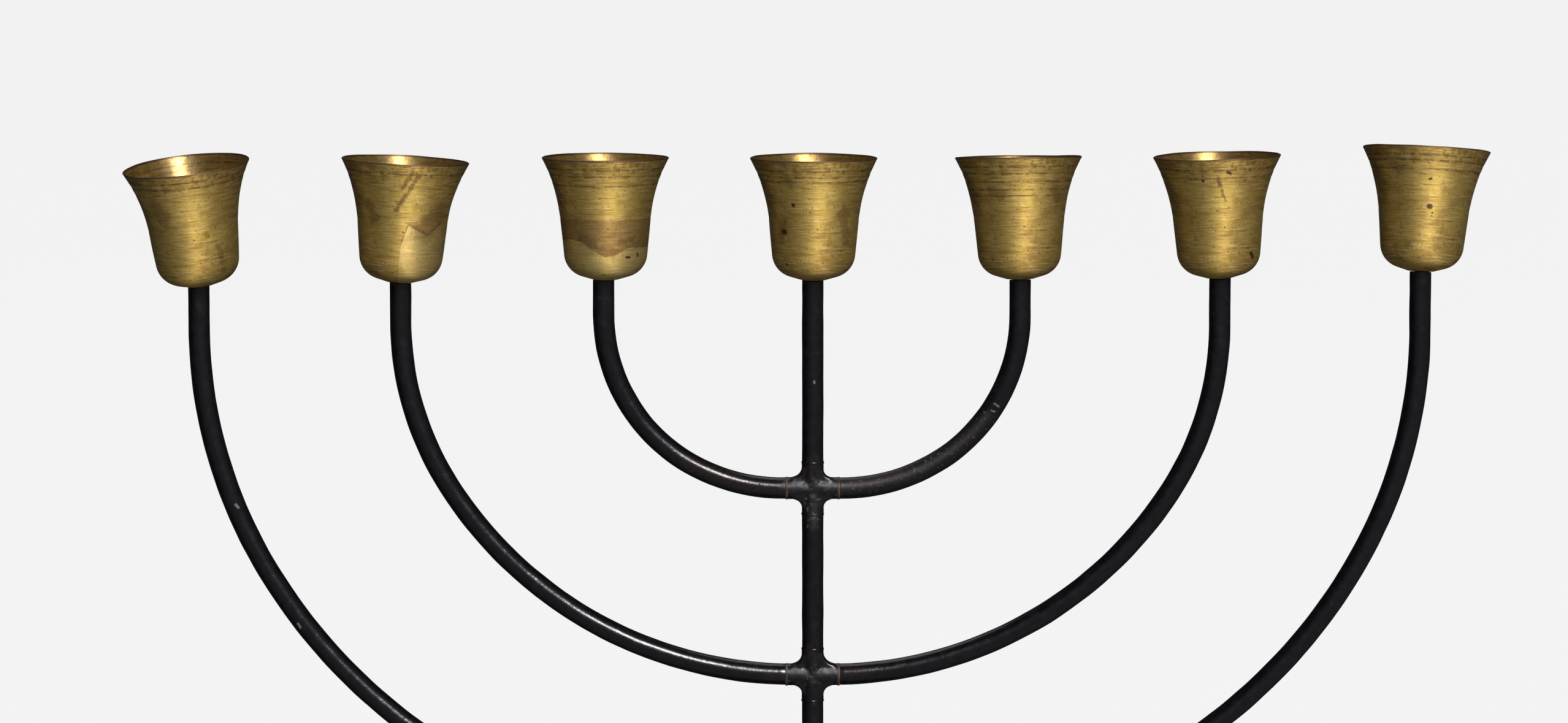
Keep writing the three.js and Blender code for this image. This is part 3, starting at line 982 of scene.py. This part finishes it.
def spigot(direction, bars, centre):
    """Turns the last ring of a bar down and closes its end."""
    narrower = bars.spigot_radius / bars.radius
    factors = [1 if direction[axis] else narrower for axis in range(3)]
    draw_out((0, 0, 0))
    scale_about(centre, factors)
    draw_out(Vector(direction) * bars.spigot_length)
    bpy.ops.mesh.edge_face_add()


def arm_bar(node, arm, bars):
    """One arm, drawn out of a circle above its seat and bent down to its crossing."""
    seat = SEATS[arm.cup]
    reach = arm.reach * MM
    side = math.copysign(1, seat.translation.x)
    crossing = CROSSINGS[arm.tier]
    bend, level, sweep = arm.bend * MM, arm.level * MM, math.radians(arm.sweep)
    wide = (reach - level - bend * (1 - math.cos(sweep))) / math.cos(sweep)
    wide_height = crossing + wide
    bend_height = wide_height - (wide - bend) * math.sin(sweep)
    leg_end = bars.leg + GAP
    short = math.asin(max(leg_end - level, 0) / wide)
    rest = math.pi / 2 - sweep - short

    top = seat.translation.z + 4 * MM
    piece = start_circle(f"{node}_bar", bars.radius, 48, (side * reach, 0, top))
    drop = stations(top, bend_height, bars.step)
    for high, low in zip(drop, drop[1:]):
        draw_out((0, 0, low - high))
    for radius, angle, centre in (
        (bend, sweep, (side * (reach - bend), 0, bend_height)),
        (wide, rest, (side * level, 0, wide_height)),
    ):
        steps = round(radius * angle / bars.step)
        bpy.ops.mesh.spin(steps=steps, angle=-side * angle, center=centre, axis=(0, 1, 0))
    if level > leg_end:
        straight = stations(level, leg_end, bars.step)
        for far, near in zip(straight, straight[1:]):
            draw_out((side * (near - far), 0, 0))
    end = (side * leg_end, 0, crossing)
    scale_about(end, (0, 1, 1))
    spigot((-side, 0, 0), bars, end)
    tapped_end(piece, seat, side * reach, bars)
    return piece


def finish_bar(piece, material, node):
    bars = bpy.context.scene.menorah_bars
    pick(piece)
    bpy.ops.object.mode_set(mode="EDIT")
    close_shape()
    soften_edges(piece, 0.2 * MM, 55)
    roughen(piece, bars.unevenness, 13 * MM)
    smooth_shade(piece, 50)
    finish_piece(piece, material, "frame", node)


def iron():
    """The one blackened-iron material that all the bars share."""
    return bpy.data.materials.get("waxed_black_iron") or waxed_black_iron()


class MENORAH_OT_arms(bpy.types.Operator):
    """Bend the six arms"""

    bl_idname = "menorah.arms"
    bl_label = "Arms"

    def execute(self, context):
        for node, arm in ARMS.items():
            finish_bar(arm_bar(node, arm, context.scene.menorah_bars), iron(), node)
        return {"FINISHED"}


def straight_bar(node, bottom, top, bars, low_end, high_end):
    """A stem bar between two heights, with the outline of each end given from the shoulder out."""
    outline = [(radius, bottom - away) for radius, away in reversed(low_end)]
    outline += [(bars.radius, height) for height in stations(bottom, top, bars.step)]
    outline += [(radius, top + away) for radius, away in high_end]
    return turned_piece(f"{node}_bar", outline, 48)


class MENORAH_OT_stem(bpy.types.Operator):
    """Turn the four bars of the stem"""

    bl_idname = "menorah.stem"
    bl_label = "Stem"

    def execute(self, context):
        bars = context.scene.menorah_bars
        end = [(bars.spigot_radius, 0), (bars.spigot_radius, bars.spigot_length)]
        leg_end = bars.leg + GAP
        for node, lower, upper in (("stem_upper", "middle", "upper"), ("stem_middle", "lower", "middle")):
            bottom, top = CROSSINGS[lower] + leg_end, CROSSINGS[upper] - leg_end
            finish_bar(straight_bar(node, bottom, top, bars, end, end), iron(), node)

        foot_bottom = BASE_TOP + GAP
        foot_spigot = 4 * MM
        foot_end = [(foot_spigot, 0), (foot_spigot, foot_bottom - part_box("stem_foot")[0].z)]
        foot_top = CROSSINGS["lower"] - leg_end
        foot = straight_bar("stem_foot", foot_bottom, foot_top, bars, foot_end, end)
        bore_end(foot, foot_spigot - 2.8 * MM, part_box("stem_foot")[0].z, 19 * MM)
        finish_bar(foot, iron(), "stem_foot")

        seat = SEATS["cup_4"]
        tip = [(bars.radius, 4 * MM)]
        bottom = CROSSINGS["upper"] + leg_end
        top_bar = straight_bar("stem_top", bottom, seat.translation.z, bars, end, tip)
        pick(top_bar)
        bpy.ops.object.mode_set(mode="EDIT")
        tapped_end(top_bar, seat, 0, bars)
        finish_bar(top_bar, iron(), "stem_top")
        return {"FINISHED"}


def bore_end(piece, wall, height, depth):
    """Sinks a hole into the downward end face at this height, leaving this wall round it."""
    select_faces(piece, lambda centre, normal: abs(centre.z - height) < WELD and normal.z < -0.99)
    bpy.ops.mesh.inset(thickness=wall, depth=0)
    draw_out((0, 0, depth))
    bpy.ops.object.mode_set(mode="OBJECT")


# Crossings.


SMOOTHED_OFF = 0.16 * MM  # what smoothing takes off a crossing's legs


def corner_web(centre, side, rise, extent, bars):
    """A web in one corner of a crossing, with a round hollow edge."""
    outwards = Vector((side, 0, rise))
    corner = centre + outwards * bars.radius
    overlap = 2 * MM
    half = (extent + overlap) / 2
    deselect_everything()
    bpy.ops.mesh.primitive_cube_add(
        size=2, location=corner + outwards * (extent - overlap) / 2, scale=(half, 4 * MM, half)
    )
    web = bpy.context.object
    settle()
    deselect_everything()
    bpy.ops.mesh.primitive_cylinder_add(
        vertices=48,
        radius=extent,
        depth=4 * bars.radius,
        location=corner + outwards * extent,
        rotation=(math.pi / 2, 0, 0),
    )
    cutter = bpy.context.object
    settle()
    cut_away(web, cutter)
    return web


def rough_cross(tier, bars):
    """Two bars through each other with a web in each corner, melted into one skin."""
    height = CROSSINGS[tier]
    centre = Vector((0, 0, height))
    long = 2 * (bars.leg + 5 * MM)
    parts = []
    for turn in ((0, 0, 0), (0, math.pi / 2, 0)):
        deselect_everything()
        bpy.ops.mesh.primitive_cylinder_add(
            vertices=64, radius=bars.radius + SMOOTHED_OFF, depth=long, location=centre, rotation=turn
        )
        parts.append(bpy.context.object)
        settle()
    for (side, rise), extent in FILLETS[tier].items():
        parts.append(corner_web(centre, side, rise, extent * MM, bars))
    pick(*parts)
    bpy.ops.object.join()
    piece = bpy.context.object
    piece.name = f"cross_{tier}_fitting"
    piece.data.name = piece.name
    add_modifier("REMESH", mode="VOXEL", voxel_size=0.42 * MM)
    add_modifier("SMOOTH", factor=0.5, iterations=24)
    return piece


def lump_middle(piece, centre):
    """Names the points near the middle, where the braze stands in lumps."""
    group = piece.vertex_groups.new(name="lumps")
    reach = 10 * MM
    for point in piece.data.vertices:
        away = (point.co - centre).length
        group.add([point.index], min(max(1.6 - 1.6 * away / reach, 0), 1), "REPLACE")
    return group.name


def sink_sockets(piece, centre, bars):
    """Cuts the four legs off square and sinks a socket into each."""
    pick(piece)
    bpy.ops.object.mode_set(mode="EDIT")
    cutters = []
    directions = [Vector((1, 0, 0)), Vector((-1, 0, 0)), UP, -UP]
    for direction in directions:
        bpy.ops.mesh.select_all(action="SELECT")
        end = centre + direction * bars.leg
        bpy.ops.mesh.bisect(plane_co=end, plane_no=direction, use_fill=True, clear_outer=True)
    bpy.ops.object.mode_set(mode="OBJECT")
    for direction in directions:
        deselect_everything()
        middle = centre + direction * (bars.leg + MM - bars.socket_depth / 2 - MM / 2)
        turn = UP.rotation_difference(direction).to_euler()
        bpy.ops.mesh.primitive_cylinder_add(
            vertices=32,
            radius=bars.socket_radius,
            depth=bars.socket_depth + MM,
            location=middle,
            rotation=turn,
        )
        cutters.append(bpy.context.object)
        settle()
    cut_away(piece, *cutters)


def braze_bead(name, centre, direction, bars):
    """A low ring of braze over the seam between a leg and its bar."""
    deselect_everything()
    turn = UP.rotation_difference(direction).to_euler()
    bpy.ops.mesh.primitive_torus_add(
        major_segments=64,
        minor_segments=10,
        major_radius=bars.radius - 0.5 * MM,
        minor_radius=0.85 * MM,
        location=centre + direction * (bars.leg + GAP / 2),
        rotation=turn,
    )
    piece = bpy.context.object
    piece.name = name
    piece.data.name = name
    settle()
    roughen(piece, 0.16 * MM, 5 * MM)
    smooth_shade(piece, 60)
    return piece


class MENORAH_OT_crossings(bpy.types.Operator):
    """Braze the three crossings"""

    bl_idname = "menorah.crossings"
    bl_label = "Crossings"

    def execute(self, context):
        bars = context.scene.menorah_bars
        bead_metal = braze()
        ways = {"left": Vector((-1, 0, 0)), "right": Vector((1, 0, 0)), "top": UP, "bottom": -UP}
        for tier, height in CROSSINGS.items():
            centre = Vector((0, 0, height))
            piece = rough_cross(tier, bars)
            group = lump_middle(piece, centre)
            roughen(piece, 0.55 * MM, 4 * MM, group)
            roughen(piece, 0.1 * MM, 9 * MM)
            sink_sockets(piece, centre, bars)
            smooth_shade(piece, 45)
            finish_piece(piece, iron(), "frame", f"cross_{tier}")
            for way, direction in ways.items():
                metal = bead_metal if way in ("left", "right") else iron()
                bead = braze_bead(f"braze_{tier}_{way}", centre, direction, bars)
                finish_piece(bead, metal, "frame")
        return {"FINISHED"}


# Base.

BASE = {"edge": 6, "rounding": 2.5, "boss": 16, "spigot_hole": 4.4, "bore": 9.5, "bore_depth": 5}
COLLAR = {"hole": 5.3, "foot": 13, "neck": 7.6, "foot_height": 3, "lip": 1}


def base_outline():
    """The base plate's section, from the counterbore out, over the rim and in to the spigot's hole."""
    low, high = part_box("base_plate")
    radius = high.x
    rounding, edge = BASE["rounding"] * MM, BASE["edge"] * MM
    outline = [(BASE["bore"] * MM, low.z)]
    outline += [(reach, low.z) for reach in stations(BASE["bore"] * MM, radius - rounding, 8 * MM)[1:]]
    for slope in stations(-math.pi / 2, math.pi / 2, math.radians(18)):
        middle = low.z + (rounding if slope < 0 else edge - rounding)
        outline.append((
            radius - rounding + rounding * math.cos(slope),
            middle + rounding * math.sin(slope),
        ))
    rim = radius - rounding
    boss = BASE["boss"] * MM
    rise = high.z - low.z - edge
    for reach in stations(rim, boss, 4 * MM)[1:]:
        along = (rim - reach) / (rim - boss)
        outline.append((reach, low.z + edge + rise * along))
    hole, ceiling = BASE["spigot_hole"] * MM, low.z + BASE["bore_depth"] * MM
    outline += [(hole, high.z), (hole, ceiling), (BASE["bore"] * MM, ceiling)]
    return outline


def collar_outline():
    """The collar's section: a flat foot, a hollow flank and a narrow lip."""
    low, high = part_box("stem_collar")
    foot, neck, hole = COLLAR["foot"] * MM, COLLAR["neck"] * MM, COLLAR["hole"] * MM
    shoulder = low.z + COLLAR["foot_height"] * MM
    lip = high.z - COLLAR["lip"] * MM
    outline = [(hole, low.z), (foot, low.z), (foot, shoulder)]
    for slope in stations(0, math.pi / 2, math.radians(9))[1:]:
        outline.append((
            foot - (foot - neck) * math.sin(slope),
            lip - (lip - shoulder) * math.cos(slope),
        ))
    return outline + [(neck, high.z), (hole, high.z)]


class MENORAH_OT_base(bpy.types.Operator):
    """Turn the base plate and the collar at the foot of the stem, and lay the felt pad"""

    bl_idname = "menorah.base"
    bl_label = "Base, collar and felt"

    def execute(self, context):
        plate = turned_piece("base_plate_disc", base_outline(), 160, hollow=True)
        roughen(plate, 0.12 * MM, 30 * MM)
        smooth_shade(plate, 50)
        finish_piece(plate, iron(), "frame", "base_plate")

        collar = turned_piece("stem_collar_ring", collar_outline(), 72, hollow=True)
        soften_edges(collar, 0.3 * MM)
        smooth_shade(collar, 50)
        finish_piece(collar, iron(), "frame", "stem_collar")

        low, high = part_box("felt_pad")
        radius, top = high.x, high.z
        edge = 0.35 * MM
        outline = [(reach, 0) for reach in stations(10 * MM, radius - edge, 5 * MM)]
        outline += [(radius, edge), (radius, top - edge)]
        outline += [(reach, top) for reach in stations(radius - edge, 10 * MM, 5 * MM)]
        pad = turned_piece("felt_pad_disc", outline, 160)
        smooth_shade(pad, 60)
        finish_piece(pad, pressed_felt(), "frame", "felt_pad")
        return {"FINISHED"}


class MENORAH_OT_base_fixings(bpy.types.Operator):
    """Turn the screw and washer under the base"""

    bl_idname = "menorah.base_fixings"
    bl_label = "Base screw and washer"

    def execute(self, context):
        tone = tuple(context.scene.menorah_finish.steel)
        material = turned_metal("plated_steel", tone, (0.16, 0.15, 0.14))
        over = Matrix.Rotation(math.pi, 4, "X")
        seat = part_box("base_screw")[0].z + BASE_SCREW["height"] * MM
        screw = slotted_screw("base_screw_slotted", BASE_SCREW, BASE_SCREW["reach"] * MM)
        place(screw, Matrix.Translation((0, 0, seat)) @ over)
        finish_piece(screw, material, "frame", "base_screw")
        washer = flat_washer("base_washer_ring", BASE_WASHER)
        place(washer, Matrix.Translation((0, 0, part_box("base_washer")[0].z)))
        finish_piece(washer, material, "frame", "base_washer")
        return {"FINISHED"}


# Stage.

PALE = 0.888  # brightness of the floor and backdrop
KEY_AZIMUTH = 17  # degrees to the menorah's right of straight in front
KEY_ELEVATION = 35
KEY_STRENGTH = 4.35
KEY_SOFTNESS = 18
BACK_STRENGTH = 0.45
BACK_SOFTNESS = 40
ROOM_DARK = 0.03  # brightness of the room behind the menorah
ROOM_BRIGHT = 0.34  # brightness of the room in front of it
CAMERA_ELEVATION = 5.7
CAMERA_TARGET = Vector((-0.0134, 0, 0.397))
CAMERA_DISTANCE = 3
CAMERA_LENS = 147.8


def towards(azimuth, elevation):
    """The direction of a place in the room, as seen from the menorah. Azimuth 0 is straight in front."""
    a, e = math.radians(azimuth), math.radians(elevation)
    return Vector((math.sin(a) * math.cos(e), -math.cos(a) * math.cos(e), math.sin(e)))


def add_sun(name, azimuth, elevation, strength, softness):
    bpy.ops.object.light_add(type="SUN", location=towards(azimuth, elevation))
    sun = bpy.context.object
    sun.name = name
    sun.rotation_euler = towards(azimuth, elevation).to_track_quat("Z", "Y").to_euler()
    sun.data.energy = strength
    sun.data.angle = math.radians(softness)


def studio_world(context):
    """A pale backdrop for the camera, and a softly graded room for reflections and fill light."""
    world = bpy.data.worlds.new("studio")
    context.scene.world = world
    world.use_nodes = True
    tree = world.node_tree
    tree.nodes.clear()
    add = tree.nodes.new
    link = tree.links.new
    place_in_room = add("ShaderNodeTexCoord")
    ahead = add("ShaderNodeVectorMath")
    ahead.operation = "DOT_PRODUCT"
    ahead.inputs[1].default_value = towards(KEY_AZIMUTH + 8, -20)
    link(place_in_room.outputs["Generated"], ahead.inputs[0])
    grade = add("ShaderNodeMapRange")
    grade.interpolation_type = "SMOOTHSTEP"
    grade.inputs["From Min"].default_value = -0.35
    grade.inputs["From Max"].default_value = 1.0
    grade.inputs["To Min"].default_value = ROOM_DARK
    grade.inputs["To Max"].default_value = ROOM_BRIGHT
    link(ahead.outputs["Value"], grade.inputs["Value"])
    room = add("ShaderNodeBackground")
    link(grade.outputs["Result"], room.inputs["Strength"])
    backdrop = add("ShaderNodeBackground")
    backdrop.inputs["Color"].default_value = (PALE, PALE, PALE, 1)
    seen = add("ShaderNodeLightPath")
    either = add("ShaderNodeMixShader")
    link(seen.outputs["Is Camera Ray"], either.inputs[0])
    link(room.outputs[0], either.inputs[1])
    link(backdrop.outputs[0], either.inputs[2])
    link(either.outputs[0], add("ShaderNodeOutputWorld").inputs["Surface"])


def pale_floor():
    bpy.ops.mesh.primitive_plane_add(size=120, location=(0, 0, 0))
    floor = bpy.context.object
    floor.name = "floor"
    finish = Finish("pale_floor")
    tint = finish.noise(finish.place(), 0.4, 2, 0.5)
    shown = finish.mix(tint, (0.935, 0.935, 0.935), (0.945, 0.945, 0.945))
    floor.data.materials.append(finish.wear(base_color=shown, roughness=0.9))
    floor.visible_glossy = False


def add_camera(context):
    """A long lens straight in front and a little above the cups' middle."""
    backwards = towards(0, CAMERA_ELEVATION)
    bpy.ops.object.camera_add(location=CAMERA_TARGET + backwards * CAMERA_DISTANCE)
    camera = bpy.context.object
    camera.rotation_euler = backwards.to_track_quat("Z", "Y").to_euler()
    camera.data.lens = CAMERA_LENS
    camera.data.sensor_width = 36
    camera.data.clip_end = 200
    context.scene.camera = camera


class MENORAH_OT_stage(bpy.types.Operator):
    """Set up the floor, the lights and the camera"""

    bl_idname = "menorah.stage"
    bl_label = "Stage"

    def execute(self, context):
        deselect_everything()
        add_camera(context)
        studio_world(context)
        pale_floor()
        add_sun("key", KEY_AZIMUTH, KEY_ELEVATION, KEY_STRENGTH, KEY_SOFTNESS)
        add_sun("back", 190, 60, BACK_STRENGTH, BACK_SOFTNESS)
        context.scene.view_settings.view_transform = "Standard"
        return {"FINISHED"}


# Panel and registration.

STEPS = (
    MENORAH_OT_stage,
    MENORAH_OT_cups,
    MENORAH_OT_cup_fixings,
    MENORAH_OT_arms,
    MENORAH_OT_stem,
    MENORAH_OT_crossings,
    MENORAH_OT_base,
    MENORAH_OT_base_fixings,
)


class MENORAH_PT_sidebar(bpy.types.Panel):
    """The menorah's steps and sizes"""

    bl_idname = "MENORAH_PT_sidebar"
    bl_label = "Menorah"
    bl_space_type = "VIEW_3D"
    bl_region_type = "UI"
    bl_category = "Menorah"

    def draw(self, context):
        for step in STEPS:
            self.layout.operator(step.bl_idname)
        for group in (getattr(context.scene, name) for name in GROUPS):
            box = self.layout.box()
            for name in group.__annotations__:
                box.prop(group, name)


GROUPS = {
    "menorah_bars": MENORAH_PG_bars,
    "menorah_cups": MENORAH_PG_cups,
    "menorah_finish": MENORAH_PG_finish,
}


def register():
    for kind in (*GROUPS.values(), *STEPS, MENORAH_PT_sidebar):
        bpy.utils.register_class(kind)
    for name, kind in GROUPS.items():
        setattr(bpy.types.Scene, name, bpy.props.PointerProperty(type=kind))


def unregister():
    for name in GROUPS:
        delattr(bpy.types.Scene, name)
    for kind in reversed((*GROUPS.values(), *STEPS, MENORAH_PT_sidebar)):
        bpy.utils.unregister_class(kind)


def main():
    register()
    bpy.ops.menorah.stage()
    bpy.ops.menorah.cups()
    bpy.ops.menorah.cup_fixings()
    bpy.ops.menorah.arms()
    bpy.ops.menorah.stem()
    bpy.ops.menorah.crossings()
    bpy.ops.menorah.base()
    bpy.ops.menorah.base_fixings()


if __name__ == "__main__":
    main()
